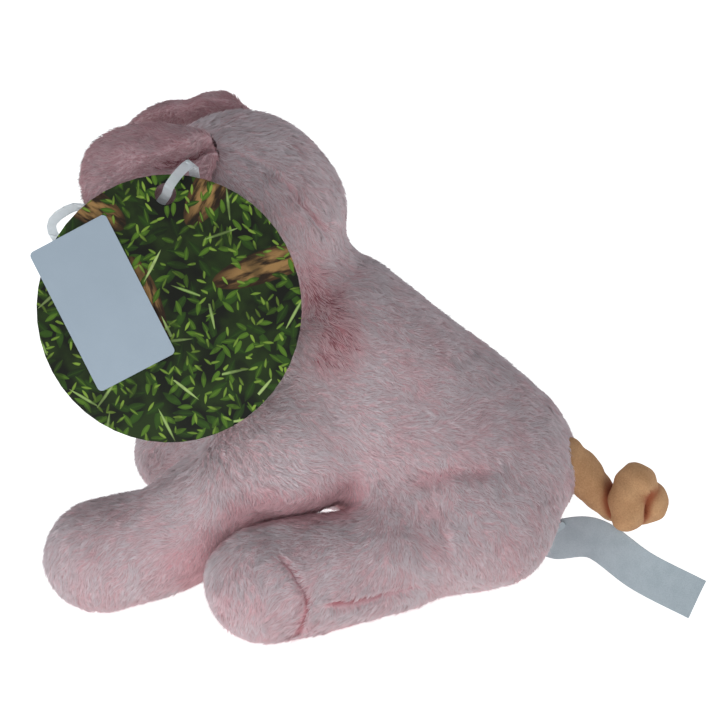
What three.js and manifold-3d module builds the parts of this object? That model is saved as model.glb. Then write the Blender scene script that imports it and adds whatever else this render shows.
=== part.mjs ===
// A stuffed plush pig that sits on its rump with all four legs stretched forward.
// It wears floppy ears, a suede snout and a curled suede tail, a woven care label
// and a round card tag on a plastic loop. It faces -Y, its left side is +X and it
// rests on the plane z = 0. All sizes are in millimetres and all angles in degrees.
import * as THREE from 'three';
import { mergeVertices } from 'three/addons/utils/BufferGeometryUtils.js';
import Module from 'manifold-3d';

const wasm = await Module();
wasm.setup();

const at = (x, y, z) => new THREE.Vector3(x, y, z);
const toRadians = THREE.MathUtils.degToRad;
const placeOf = ({ x = 0, y, z }) => at(x, y, z);
const stationOf = (size) => ({ at: placeOf(size), wide: size.wide, deep: size.deep ?? size.wide });

// Gap between neighbouring pieces, and the wider one round a ball that turns in its socket
const clearance = 0.35;
const ballClearance = 0.55;
// How far a cutting shape runs past what it cuts, and how far the ground reaches
const overrun = 20;
const groundReach = 200;
// How deep the stuffed forms are pressed flat where they rest
const pressedFlat = 0.5;

// Torso: a fat pear from the chest down to the rump, with a ball for each shoulder and hip
const chest = { y: -37, z: 69, wide: 26.6 };
const waist = { y: -17.2, z: 49, wide: 29.5, deep: 31 };
const rumpRadius = 32.5;
const rump = { y: 0, z: rumpRadius - pressedFlat, wide: rumpRadius };
const shoulder = { x: 14, y: -43, z: 46.5, radius: 17.5 };
const hip = { x: 18, y: 7, z: 26.5, radius: 18.8 };

// Head: a round skull with a short muzzle, on a neck line that runs to the chest
const skull = { y: -59.3, z: 103.8, wide: 28, deep: 27 };
const skullStretch = 1;
const muzzle = { y: -78, z: 97.5, wide: 18.5, deep: 16.5 };
const muzzleRootShare = 0.3;
const muzzleRoot = { wide: 21.8, deep: 19.8 };
const headTurn = [-20, 20];

// Snout: a thick suede disc on the cut end of the muzzle
const snoutRadius = 12.5;
const snoutDepth = 8.5;
const snoutCrown = 1.6;
const snoutEdge = 2.2;
const snoutCrownShares = { out: 0.5, up: 0.75 };
const snoutTilt = 14;
const muzzleFace = 12;

// Safety eyes: a bead on a shank that is locked by a washer inside the head
const eyeRadius = 3.4;
const eyeRise = 2.6;
const eyeSunk = 0.6;
const shankRadius = 1.5;
const shankLength = 7;
const washerRadius = 4.6;
const washerThickness = 1.4;
const washerDepth = 3.6;
const eyeSide = 26;
const eyeUp = 20;

// Ears: padded leaves that are gathered at the root and flop forward
const earThickness = 8;
const earRootOutward = 42;
const earRootForward = 8;
const earRootSunk = 0.17;
const earLength = 27;
const earWidth = 24;
const earLengthShares = [0, 0.3, 0.62, 0.86, 1];
const earWidthShares = [0.58, 0.88, 1, 0.84, 0.52];
const earArchShares = [0, 0.06, 0.06, 0, -0.07];
const earOutward = 17;
const earDip = 16;

// Front legs: stout arms that swell into paws
const armRadius = 15.5;
const wristRadius = 13.8;
const wristShare = 0.6;
const wristSag = 1.6;
const pawRadius = 16;
const leftPaw = { x: 25, y: -94.5, z: pawRadius - pressedFlat };
const rightPaw = { x: -37, y: -83, z: 19.5 };
const armLift = [0, 20];

// Hind legs: thick thighs that lie along the ground
const thighRadius = 17.6;
const calfRadius = 16.4;
const calfShare = 0.55;
const calfRise = 0.3;
const footRadius = 16.2;
const leftFoot = { x: 41, y: -49.5, z: footRadius - pressedFlat };
const rightFoot = { x: -46, y: -42, z: footRadius - pressedFlat };
const hindSplay = [0, 25];

// Tail: a suede tube that leaves the rump thick and curls once beside itself
const tailRadius = 4.3;
const tailRootWide = 5.6;
const tailRootDeep = 8;
const tailRootOut = 1.5;
const curlTall = 5.2;
const curlLong = 4;
const curlGap = 0.9;
const curlTurn = 450;
const curlLead = 25;
const curlSteps = 10;
const curlCentre = { x: -0.6, y: 46.8, z: 28.1 };
const tailSwing = [-20, 20];

// Care label: a folded woven strip in the rear seam
const labelWidth = 11.2;
const labelThickness = 0.5;
const labelRootUp = -36;
const labelEnd = { x: 17.6, y: 64, z: 5.1 };
const labelBow = 4.2;
const labelBowShares = [0.28, 0.62];
const labelEndAcross = at(0.5, -0.4, -0.76);
const labelSwing = [-15, 15];

// Card tag: a round card that leans outward from its hole, which hangs beside the left ear's root
const tagRadius = 32.6;
const tagThickness = 0.6;
const tagLean = 19;
const tagHoleRadius = 2.7;
const tagHole = { side: -1.5, up: 27.8 };
const tagHang = { out: 17.5, ahead: 8.4, down: 7.6 };

// Sticker: a plain paper label stuck over the edge of the tag
const stickerLength = 38.1;
const stickerWidth = 21.2;
const stickerCorner = 1.2;
const stickerThickness = 0.3;
const stickerCentre = { side: -16.2, up: 0.9 };
const stickerTurn = -61;

// Plastic loop: a flat strap through the tag's hole, over its rim, under the left ear,
// down ahead of the ear and back behind the tag to its lock. Its places by the hole are
// shares of the hole's radius out of the card, to the side and up. Its places by the ear
// are shares of the ear's length ahead, of its width outward and of its thickness down
const strapWidth = 2.4;
const strapThickness = 0.7;
const strapSteps = 52;
const strapHoleShares = [
  { out: -1.4, side: -2.4, up: -2.6 },
  { out: -0.8, side: -0.15, up: -0.15 },
  { out: 0, side: 0.2, up: 0.28 },
  { out: 0.75, side: 0.5, up: 0.7 },
  { out: 0.78, side: 1.55, up: 2.1 },
  { out: 0, side: 2.3, up: 2.75 },
];
const strapHoleAcross = at(0, 0.82, -0.57);
const strapEarShares = [
  { ahead: 0.31, outward: 0.53, down: 0.1, across: at(-0.5, 0.4, -0.75) },
  { ahead: 0.37, outward: 0.23, down: 0.62, across: at(-0.6, 0.5, -0.5) },
  { ahead: 0.61, outward: 0.14, down: 0.7, across: at(-0.74, 0, 0.67) },
  { ahead: 0.99, outward: 0.22, down: 1, across: at(-0.74, 0, 0.67) },
  { ahead: 1.35, outward: 0.11, down: 0.27, across: at(-0.5, 0, -0.85) },
  { ahead: 1.61, outward: 0.21, down: 0.32, across: at(0.2, 0.5, -0.84) },
  { ahead: 1.58, outward: 0.41, down: 0.67, across: at(0.1, 0.6, -0.8) },
];
const lockShares = { ahead: 1.35, outward: 0.54, down: 0.69, across: at(0, 0.6, -0.8) };
const lockTurn = -35;
const lockLength = 4;
const lockWidth = 3.4;
const lockThickness = 1.8;

const colours = {
  plush: 0xdcbcc4,
  suede: 0xd9ab85,
  eye: 0x16120f,
  washer: 0xe8e6e0,
  label: 0xe4ebf0,
  card: 0x4f7a35,
  sticker: 0xdfe6ee,
  strap: 0xdfe2e2,
};

const material = (name, roughness) =>
  new THREE.MeshStandardMaterial({ color: colours[name], roughness, metalness: 0 });

// Solids for joining and cutting

function solidOf(geometry) {
  const bare = geometry.clone();
  bare.deleteAttribute('normal');
  bare.deleteAttribute('uv');
  const merged = mergeVertices(bare, 1e-5);
  return new wasm.Manifold(new wasm.Mesh({
    numProp: 3,
    vertProperties: new Float32Array(merged.attributes.position.array),
    triVerts: new Uint32Array(merged.index.array),
  }));
}

function geometryOf(solid) {
  const mesh = solid.getMesh();
  const geometry = new THREE.BufferGeometry();
  geometry.setAttribute('position', new THREE.BufferAttribute(mesh.vertProperties, 3));
  geometry.setIndex(new THREE.BufferAttribute(mesh.triVerts, 1));
  geometry.computeVertexNormals();
  return geometry;
}

// A closed skin over rings of points; a ring of one point is a pole
function skinOver(rings) {
  const points = rings.flat();
  const starts = rings.map((_, i) => rings.slice(0, i).flat().length);
  const faces = [];
  for (let i = 0; i + 1 < rings.length; i += 1) {
    const low = rings[i].length;
    const high = rings[i + 1].length;
    const sides = Math.max(low, high);
    for (let k = 0; k < sides; k += 1) {
      const a = starts[i] + (k % low);
      const b = starts[i] + ((k + 1) % low);
      const c = starts[i + 1] + ((k + 1) % high);
      const d = starts[i + 1] + (k % high);
      if (low > 1) faces.push(a, b, c);
      if (high > 1) faces.push(a, c, d);
    }
  }
  const geometry = new THREE.BufferGeometry();
  geometry.setFromPoints(points);
  geometry.setIndex(faces);
  return geometry;
}

// A ring of an oval section, counted against the clock round the way it travels
function ovalRing(centre, along, across, wide, deep, sides) {
  const side = across.clone().addScaledVector(along, -across.dot(along)).normalize();
  const up = new THREE.Vector3().crossVectors(along, side);
  return Array.from({ length: sides }, (_, k) => {
    const turn = (2 * Math.PI * k) / sides;
    return centre.clone()
      .addScaledVector(side, wide * Math.cos(turn))
      .addScaledVector(up, deep * Math.sin(turn));
  });
}

// Value of a list at a share of its length, eased from one entry to the next
function easedValue(values, share) {
  const place = share * (values.length - 1);
  const i = Math.min(Math.floor(place), values.length - 2);
  const step = place - i;
  const ease = step * step * (3 - 2 * step);
  return values[i] + (values[i + 1] - values[i]) * ease;
}

// A stuffed form that swells and tapers through its stations, with round ends
function stuffed(stations, { across = at(1, 0, 0), sides = 24, rings = 14, caps = 5, grow = 0 } = {}) {
  const curve = new THREE.CatmullRomCurve3(stations.map((s) => s.at));
  const wides = stations.map((s) => s.wide + grow);
  const deeps = stations.map((s) => s.deep + grow);
  const ringAt = (share, reach, size) => {
    const along = curve.getTangent(share);
    const centre = curve.getPoint(share).addScaledVector(along, reach);
    const wide = easedValue(wides, share) * size;
    return ovalRing(centre, along, across, wide, easedValue(deeps, share) * size, sides);
  };
  const capRings = (share, sign) => Array.from({ length: caps }, (_, k) => {
    const turn = (Math.PI / 2) * ((k + 1) / (caps + 1));
    const depth = Math.min(easedValue(wides, share), easedValue(deeps, share));
    return ringAt(share, sign * depth * Math.cos(turn), Math.sin(turn));
  });
  const poleAt = (share, sign) => {
    const depth = Math.min(easedValue(wides, share), easedValue(deeps, share));
    return [curve.getPoint(share).addScaledVector(curve.getTangent(share), sign * depth)];
  };
  const middle = Array.from({ length: rings + 1 }, (_, k) => ringAt(k / rings, 0, 1));
  return solidOf(skinOver([
    poleAt(0, -1),
    ...capRings(0, -1),
    ...middle,
    ...capRings(1, 1).reverse(),
    poleAt(1, 1),
  ]));
}

function ball(centre, radius, sides = 20) {
  const geometry = new THREE.SphereGeometry(radius, sides, sides / 2);
  geometry.translate(centre.x, centre.y, centre.z);
  return solidOf(geometry);
}

// The ground below the rest plane, as a cutting block
function ground() {
  const geometry = new THREE.BoxGeometry(2 * groundReach, 2 * groundReach, overrun);
  geometry.translate(0, 0, -overrun / 2);
  return solidOf(geometry);
}

// A copy of a solid, turned about an axis through a pivot
function turned(solid, { pivot, axis }, degrees) {
  const geometry = geometryOf(solid);
  geometry.translate(-pivot.x, -pivot.y, -pivot.z);
  geometry.applyMatrix4(new THREE.Matrix4().makeRotationAxis(axis, toRadians(degrees)));
  geometry.translate(pivot.x, pivot.y, pivot.z);
  return solidOf(geometry);
}

// What is left of a moving piece that clears its neighbour in the poses where it comes nearest
function keptClear(piece, neighbour, joint) {
  let left = piece;
  for (const pose of joint.nearest) {
    left = left.subtract(turned(neighbour, joint, -pose));
  }
  return largestOf(left);
}

// The largest body of a cut piece: chips that a cut leaves loose are dropped
function largestOf(solid) {
  return solid.decompose().reduce((a, b) => (b.volume() > a.volume() ? b : a));
}

// Torso

const jointAt = (size, side) => at(side * size.x, size.y, size.z);

const torsoForm = (grow = 0) =>
  stuffed([chest, waist, rump].map(stationOf), { sides: 24, rings: 7, grow });

function torso() {
  let form = torsoForm();
  for (const side of [1, -1]) {
    for (const joint of [shoulder, hip]) form = form.add(ball(jointAt(joint, side), joint.radius));
  }
  return form.subtract(ground());
}

// Head and what is set in it

const neckLine = placeOf(skull).sub(placeOf(chest)).normalize();
const neckJoint = { pivot: placeOf(chest), axis: neckLine, nearest: headTurn };
const faceAxis = placeOf(muzzle).sub(placeOf(skull)).normalize();
const snoutAxis = at(0, -Math.cos(toRadians(snoutTilt)), -Math.sin(toRadians(snoutTilt)));
const snoutSeat = placeOf(muzzle).addScaledVector(snoutAxis, muzzleFace);

// A geometry that is drawn along +Y from its own origin, set along an axis at a place
function setAlong(geometry, place, axis) {
  const turn = new THREE.Quaternion().setFromUnitVectors(at(0, 1, 0), axis);
  geometry.applyQuaternion(turn);
  geometry.translate(place.x, place.y, place.z);
  return geometry;
}

const turnedProfile = (points, sides) =>
  new THREE.LatheGeometry(points.map(([r, h]) => new THREE.Vector2(r, h)), sides);

function eyeSeat(side) {
  const around = toRadians(eyeSide) * side;
  const up = toRadians(eyeUp);
  const axis = at(Math.sin(around) * Math.cos(up), -Math.cos(around) * Math.cos(up), Math.sin(up));
  const place = placeOf(skull).addScaledVector(axis, skull.deep - eyeSunk);
  return { place, axis };
}

function eyePocket(side) {
  const { place, axis } = eyeSeat(side);
  const washerTop = -washerDepth + clearance;
  const washerBottom = -washerDepth - washerThickness - clearance;
  const bottom = -shankLength - clearance;
  const hole = shankRadius + clearance;
  const profile = [
    [0, bottom],
    [hole, bottom],
    [hole, washerBottom],
    [washerRadius + clearance, washerBottom],
    [washerRadius + clearance, washerTop],
    [hole, washerTop],
    [hole, -clearance],
    [eyeRadius + clearance, -clearance],
    [eyeRadius + clearance, overrun],
    [0, overrun],
  ];
  return solidOf(setAlong(turnedProfile(profile, 12), place, axis));
}

function eye(side) {
  const { place, axis } = eyeSeat(side);
  const dome = Array.from({ length: 6 }, (_, k) => {
    const turn = (Math.PI / 2) * (k / 5);
    return [eyeRadius * Math.cos(turn), eyeSunk + eyeRise * Math.sin(turn)];
  });
  dome[dome.length - 1][0] = 0;
  const profile = [[0, -shankLength], [shankRadius, -shankLength], [shankRadius, 0], [eyeRadius, 0], ...dome];
  return setAlong(turnedProfile(profile, 14), place, axis);
}

function eyeWasher(side) {
  const { place, axis } = eyeSeat(side);
  const bore = shankRadius + clearance;
  const top = -washerDepth;
  const bottom = top - washerThickness;
  const profile = [[bore, bottom], [washerRadius, bottom], [washerRadius, top], [bore, top], [bore, bottom]];
  return setAlong(turnedProfile(profile, 14), place, axis);
}

function snout() {
  const start = clearance;
  const profile = [
    [0, start],
    [snoutRadius - snoutEdge / 2, start],
    [snoutRadius, start + snoutEdge],
    [snoutRadius, snoutDepth - snoutEdge],
    [snoutRadius - snoutEdge, snoutDepth],
    [snoutRadius * snoutCrownShares.out, snoutDepth + snoutCrown * snoutCrownShares.up],
    [0, snoutDepth + snoutCrown],
  ];
  return setAlong(turnedProfile(profile, 28), snoutSeat, snoutAxis);
}

function head(neighbour) {
  const skullForm = stuffed([-skullStretch, skullStretch].map((ahead) => ({
    ...stationOf(skull),
    at: placeOf(skull).addScaledVector(faceAxis, ahead),
  })), { sides: 24, rings: 1, caps: 5 });
  const muzzleForm = stuffed([
    { ...muzzleRoot, at: placeOf(skull).lerp(placeOf(muzzle), muzzleRootShare) },
    stationOf(muzzle),
  ], { sides: 24, rings: 2, caps: 3 });
  const beyondFace = setAlong(
    turnedProfile([[0, 0], [2 * snoutRadius, 0], [2 * snoutRadius, overrun], [0, overrun]], 24),
    snoutSeat,
    snoutAxis,
  );
  let form = skullForm.add(muzzleForm).subtract(solidOf(beyondFace));
  for (const side of [1, -1]) form = form.subtract(eyePocket(side));
  form = form.subtract(ball(placeOf(chest), chest.wide + ballClearance));
  return keptClear(form, neighbour, neckJoint);
}

// Ears: each turns about its gathered root, which lies on the head

function earPlace(side) {
  const outward = toRadians(earRootOutward);
  const fore = toRadians(earRootForward);
  const away = at(side * Math.sin(outward) * Math.cos(fore), -Math.sin(fore), Math.cos(outward) * Math.cos(fore));
  const skin = 1 / Math.hypot(away.x / skull.wide, away.y / skull.deep, away.z / skull.deep);
  const root = placeOf(skull).addScaledVector(away, skin + earThickness / 2 + clearance - earRootSunk);
  const across = at(side * Math.cos(outward), 0, -Math.sin(outward));
  const turn = toRadians(earOutward);
  const dip = toRadians(earDip);
  const forward = at(side * Math.sin(turn) * Math.cos(dip), -Math.cos(turn) * Math.cos(dip), -Math.sin(dip));
  return { away, root, across, forward };
}

function ear(side) {
  const { away, root, across, forward } = earPlace(side);
  const stations = earLengthShares.map((share, i) => ({
    at: root.clone()
      .addScaledVector(forward, earLength * share)
      .addScaledVector(away, earLength * earArchShares[i]),
    wide: (earWidth / 2) * earWidthShares[i],
    deep: earThickness / 2,
  }));
  return stuffed(stations, { across, sides: 14, rings: 8, caps: 3 });
}

// Legs: each starts on the round shoulder or hip and ends in a stuffed paw

function leg(joint, rootRadius, stations, neighbour) {
  const form = stuffed(stations, { sides: 16, rings: 7, caps: 4 }).subtract(ground());
  return keptClear(form.subtract(ball(joint.pivot, rootRadius + ballClearance)), neighbour, joint);
}

function frontLeg(side, paw, neighbour) {
  const root = jointAt(shoulder, side);
  const wrist = root.clone().lerp(placeOf(paw), wristShare);
  wrist.z -= wristSag;
  const joint = { pivot: root, axis: at(-1, 0, 0), nearest: armLift };
  const stations = [
    { at: root, wide: armRadius, deep: armRadius },
    { at: wrist, wide: wristRadius, deep: wristRadius },
    { at: placeOf(paw), wide: pawRadius, deep: pawRadius },
  ];
  return leg(joint, shoulder.radius, stations, neighbour);
}

function hindLeg(side, foot, neighbour) {
  const root = jointAt(hip, side);
  const calf = root.clone().lerp(placeOf(foot), calfShare);
  calf.z += calfRise;
  const joint = { pivot: root, axis: at(0, 0, side), nearest: [0] };
  const stations = [
    { at: root, wide: thighRadius, deep: thighRadius },
    { at: calf, wide: calfRadius, deep: calfRadius },
    { at: placeOf(foot), wide: footRadius, deep: footRadius },
  ];
  return leg(joint, hip.radius, stations, neighbour);
}

// Tail: it leaves the rump, dips and curls once about a line across the pig

const tailStart = placeOf(rump).add(at(0, rumpRadius + tailRootOut, 0));
const tailJoint = { pivot: tailStart, axis: at(0, 0, 1), nearest: [tailSwing[0], 0, tailSwing[1]] };

function tail(neighbour) {
  const pitch = 2 * tailRadius + curlGap;
  const stations = [{ at: tailStart, wide: tailRootWide, deep: tailRootDeep }];
  for (let i = 0; i <= curlSteps; i += 1) {
    const degrees = -90 - curlLead + ((curlTurn + curlLead) * i) / curlSteps;
    const turn = toRadians(degrees);
    stations.push({
      at: placeOf(curlCentre).add(at(
        (pitch * (degrees - 90)) / 360,
        curlLong * Math.cos(turn),
        curlTall * Math.sin(turn),
      )),
      wide: tailRadius,
      deep: tailRadius,
    });
  }
  return keptClear(stuffed(stations, { sides: 8, rings: 26, caps: 2 }), neighbour, tailJoint);
}

// Care label: a strip that leaves the rear seam upright and bows toward the left

function ribbon(points, acrosses, width, thickness, steps) {
  const curve = new THREE.CatmullRomCurve3(points);
  const rings = Array.from({ length: steps + 1 }, (_, i) => {
    const share = i / steps;
    const along = curve.getTangent(share);
    const place = Math.min(Math.floor(share * (acrosses.length - 1)), acrosses.length - 2);
    const step = share * (acrosses.length - 1) - place;
    const across = acrosses[place].clone().lerp(acrosses[place + 1], step);
    across.addScaledVector(along, -across.dot(along)).normalize();
    const up = new THREE.Vector3().crossVectors(along, across);
    const corners = [[1, 1], [-1, 1], [-1, -1], [1, -1]];
    return corners.map(([a, b]) => curve.getPoint(share)
      .addScaledVector(across, (a * width) / 2)
      .addScaledVector(up, (b * thickness) / 2));
  });
  return skinOver([[middleOf(rings[0])], ...rings, [middleOf(rings[steps])]]);
}

function middleOf(ring) {
  return ring.reduce((sum, point) => sum.add(point), at(0, 0, 0)).divideScalar(ring.length);
}

function careLabel(neighbour) {
  const up = toRadians(labelRootUp);
  const away = at(0, Math.cos(up), Math.sin(up));
  const seam = at(0, Math.sin(up), -Math.cos(up));
  const root = placeOf(rump).addScaledVector(away, rumpRadius);
  const end = placeOf(labelEnd);
  const points = [
    root,
    root.clone().lerp(end, labelBowShares[0]).add(at(-labelBow / 2, 0, labelBow)),
    root.clone().lerp(end, labelBowShares[1]).add(at(0, 0, labelBow / 3)),
    end,
  ];
  const strip = solidOf(ribbon(points, [seam, seam, labelEndAcross], labelWidth, labelThickness, 16));
  return keptClear(strip, neighbour, { pivot: root, axis: seam, nearest: [labelSwing[0], 0, labelSwing[1]] });
}

// Card tag, drawn facing +X in its own group, which leans about the loop's hole

function extrudedFacingX(shape, thickness, curveSegments) {
  const geometry = new THREE.ExtrudeGeometry(shape, { depth: thickness, bevelEnabled: false, curveSegments });
  const basis = new THREE.Matrix4().makeBasis(at(0, 1, 0), at(0, 0, 1), at(1, 0, 0));
  return geometry.applyMatrix4(basis);
}

function cardTag() {
  const outline = new THREE.Shape();
  outline.absarc(0, 0, tagRadius, 0, 2 * Math.PI);
  const hole = new THREE.Path();
  hole.absarc(tagHole.side, tagHole.up, tagHoleRadius, 0, 2 * Math.PI, true);
  outline.holes.push(hole);
  return extrudedFacingX(outline, tagThickness, 24);
}

function sticker() {
  const long = stickerLength / 2 - stickerCorner;
  const short = stickerWidth / 2 - stickerCorner;
  const outline = new THREE.Shape();
  outline.absarc(long, short, stickerCorner, 0, Math.PI / 2);
  outline.absarc(-long, short, stickerCorner, Math.PI / 2, Math.PI);
  outline.absarc(-long, -short, stickerCorner, Math.PI, 1.5 * Math.PI);
  outline.absarc(long, -short, stickerCorner, 1.5 * Math.PI, 2 * Math.PI);
  const geometry = extrudedFacingX(outline, stickerThickness, 3);
  geometry.rotateX(toRadians(stickerTurn));
  return geometry.translate(tagThickness + clearance, stickerCentre.side, stickerCentre.up);
}

// A place that is counted from the tag's hole: out of the card, to the side and up
const tagAxis = at(0, -1, 0);
const holeAt = earPlace(1).root.add(at(tagHang.out, -tagHang.ahead, -tagHang.down));
const fromHole = (out, side, up) => at(out, side, up).applyAxisAngle(tagAxis, toRadians(tagLean)).add(holeAt);

const tagGroup = new THREE.Group();
tagGroup.position.copy(fromHole(-tagThickness / 2, -tagHole.side, -tagHole.up));
tagGroup.quaternion.setFromAxisAngle(tagAxis, toRadians(tagLean));

// Plastic loop: the strap and the block that locks its two ends

function fromEar({ ahead, outward, down, across }) {
  const { root, across: leafSide, forward } = earPlace(1);
  const side = leafSide.clone().addScaledVector(forward, -leafSide.dot(forward)).normalize();
  const above = new THREE.Vector3().crossVectors(forward, side);
  const place = root
    .addScaledVector(forward, earLength * ahead)
    .addScaledVector(side, earWidth * outward)
    .addScaledVector(above, -earThickness * down);
  return { at: place, across };
}

function plasticLoop() {
  const lock = fromEar(lockShares);
  const byHole = strapHoleShares.map((share) => ({
    at: fromHole(tagHoleRadius * share.out, tagHoleRadius * share.side, tagHoleRadius * share.up),
    across: strapHoleAcross,
  }));
  const route = [lock, ...byHole, ...strapEarShares.map(fromEar), lock];
  const strap = solidOf(ribbon(
    route.map((place) => place.at),
    route.map((place) => place.across),
    strapWidth,
    strapThickness,
    strapSteps,
  ));
  const block = new THREE.BoxGeometry(lockThickness, lockWidth, lockLength);
  block.rotateX(toRadians(lockTurn));
  block.translate(lock.at.x, lock.at.y, lock.at.z);
  return strap.add(solidOf(block));
}

// Assembly

const torsoClear = torsoForm(clearance);
const group = new THREE.Group();

function addNode(name, geometry, look, parent = group) {
  const mesh = new THREE.Mesh(geometry, look);
  mesh.name = name;
  parent.add(mesh);
}

const plush = () => material('plush', 0.95);
const suede = () => material('suede', 0.9);

addNode('torso', geometryOf(torso()), plush());
addNode('head', geometryOf(head(torsoClear)), plush());
addNode('snout', snout(), suede());
addNode('ear_left', geometryOf(ear(1)), plush());
addNode('ear_right', geometryOf(ear(-1)), plush());
addNode('front_leg_left', geometryOf(frontLeg(1, leftPaw, torsoClear)), plush());
addNode('front_leg_right', geometryOf(frontLeg(-1, rightPaw, torsoClear)), plush());
addNode('hind_leg_left', geometryOf(hindLeg(1, leftFoot, torsoClear)), plush());
addNode('hind_leg_right', geometryOf(hindLeg(-1, rightFoot, torsoClear)), plush());
addNode('tail', geometryOf(tail(torsoClear)), suede());
for (const [name, side] of [['left', 1], ['right', -1]]) {
  addNode(`eye_${name}`, eye(side), material('eye', 0.15));
  addNode(`eye_washer_${name}`, eyeWasher(side), material('washer', 0.5));
}
addNode('care_label', geometryOf(careLabel(torsoClear)), material('label', 0.7));
addNode('tag_loop', geometryOf(plasticLoop()), material('strap', 0.35));
group.add(tagGroup);
addNode('card_tag', cardTag(), material('card', 0.4), tagGroup);
addNode('sticker', sticker(), material('sticker', 0.6), tagGroup);

export default group;
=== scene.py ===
# A stuffed plush pig that sits on its rump with its four legs stretched forward. It has
# floppy ears, a suede snout and a curled suede tail, a woven label in its rear seam, and a
# round card tag on a plastic loop at its left ear. Sizes are in millimetres until a mesh
# is made, which is in metres. The pig faces -Y and its left side is +X.
import math

import bpy
import numpy as np
from mathutils import Matrix


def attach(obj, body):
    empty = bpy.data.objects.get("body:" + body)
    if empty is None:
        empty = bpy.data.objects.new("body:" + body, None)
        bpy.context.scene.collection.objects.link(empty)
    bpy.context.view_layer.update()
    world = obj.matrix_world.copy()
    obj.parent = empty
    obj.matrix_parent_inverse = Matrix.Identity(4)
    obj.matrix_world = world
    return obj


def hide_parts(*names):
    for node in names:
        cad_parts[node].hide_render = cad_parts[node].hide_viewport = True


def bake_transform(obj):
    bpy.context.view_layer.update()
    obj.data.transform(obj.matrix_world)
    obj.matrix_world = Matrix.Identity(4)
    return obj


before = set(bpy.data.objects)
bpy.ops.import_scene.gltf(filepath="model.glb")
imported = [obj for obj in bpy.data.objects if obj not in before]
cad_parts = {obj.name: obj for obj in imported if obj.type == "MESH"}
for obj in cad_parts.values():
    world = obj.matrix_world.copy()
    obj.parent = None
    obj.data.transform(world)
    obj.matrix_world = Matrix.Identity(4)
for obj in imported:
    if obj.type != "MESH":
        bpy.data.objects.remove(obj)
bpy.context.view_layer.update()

mm = 0.001

# Camera: a long lens beside the pig, a little behind it and above it, as in the photograph.
view_azimuth, view_elevation = math.radians(95), math.radians(20)
view_distance = 515
view_target = np.array([0, -28, 64])
focal_pixels, picture_side, sensor_width, nearest_seen = 1908, 720, 36, 10


def direction(azimuth, elevation):
    """A way off the pig: its azimuth is counted from ahead over the left side, and its
    elevation from the level."""
    level = math.cos(elevation)
    return np.array([level * math.sin(azimuth), -level * math.cos(azimuth), math.sin(elevation)])


backward = direction(view_azimuth, view_elevation)
rightward = np.array([math.cos(view_azimuth), math.sin(view_azimuth), 0])
upward = np.cross(backward, rightward)
camera = bpy.data.objects.new("camera", bpy.data.cameras.new("camera"))
bpy.context.scene.collection.objects.link(camera)
camera.data.sensor_width = sensor_width
camera.data.lens = focal_pixels * sensor_width / picture_side
camera.data.clip_start = nearest_seen * mm
camera_place = (view_target + view_distance * backward) * mm
camera_rows = np.stack([rightward, upward, backward, camera_place], 1)
camera.matrix_world = Matrix([*camera_rows.tolist(), [0, 0, 0, 1]])
bpy.context.scene.camera = camera

# Torso: a pear of pile fabric that is stuffed with fibre, narrow at the chest and fat at
# the rump, which is pressed flat where it sits. Each shoulder and hip swells into its leg.
# Stations are x, y, z and the radius there.
chest = (0, -37, 69, 25.2)
waist = (0, -16.6, 48.6, 28.2)
rump = (0, 0, 32, 31.3)
shoulder, shoulder_radius = np.array([14, -43, 46.5]), 17
hip, hip_radius = np.array([18, 5.5, 27.4]), 16.8
mirror = np.array([-1, 1, 1])
sides = {"left": np.array([1, 1, 1]), "right": mirror}
torso_slimness = np.array([1.03, 1, 1])
socket_blend, seat_blend = 5, 1.2
seat_slant = np.array([0, 0.77, -0.64])
seat_slant_reach, seat_slant_blend = 29.5, 9
torso_grid, pear_steps = {"rows": 52, "caps": 30, "sides": 150}, 16
ray_steps, ray_stride = 70, 0.9
lump_height, lump_size, lump_seed, skin_cell = 0.5, 21, 3, 1.2
ground_gap, plush_fill = 0.02, 0.8


def spline(stations, steps):
    """A smooth line through stations: on each stretch a cubic, whose slope at a station is
    half the step between the stations on either side of it."""
    s = np.asarray(stations, float)
    s = np.vstack([2 * s[0] - s[1], s, 2 * s[-1] - s[-2]])
    place = np.linspace(0, len(s) - 3, steps + 1)
    i = np.minimum(place.astype(int), len(s) - 4)
    t = (place - i)[:, None]
    a, b, c, d = s[i], s[i + 1], s[i + 2], s[i + 3]
    curve = (2 * a - 5 * b + 4 * c - d) * t**2 + (3 * b - a - 3 * c + d) * t**3
    return 0.5 * (2 * b + (c - a) * t + curve)


def depth_round(line, p):
    """Distance of points outside the balls that swell and shrink along a line: the least,
    over the line's stretches, of the distance to the stretch less the radius there."""
    least = np.full(p.shape[:-1], np.inf)
    for start, end in zip(line[:-1], line[1:]):
        step = end[:3] - start[:3]
        share = np.clip((p - start[:3]) @ step / (step @ step), 0, 1)
        gap = np.linalg.norm(p - start[:3] - share[..., None] * step, axis=-1)
        least = np.minimum(least, gap - start[3] - share * (end[3] - start[3]))
    return least


def merged(a, b, soft):
    """The lesser of two depths, rounded off over a soft width where they are alike."""
    share = np.clip(0.5 + 0.5 * (b - a) / soft, 0, 1)
    return b + (a - b) * share - soft * share * (1 - share)


def cut(a, b, soft):
    """The greater of two depths, rounded off in the same way."""
    return -merged(-a, -b, soft)


def unit(v):
    """Vectors at length 1."""
    return v / np.maximum(np.linalg.norm(v, axis=-1, keepdims=True), 1e-9)


def eased(x, low, high):
    """0 below low, 1 above high and smooth between them."""
    share = np.clip((np.asarray(x, float) - low) / (high - low), 0, 1)
    return share * share * (3 - 2 * share)


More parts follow.
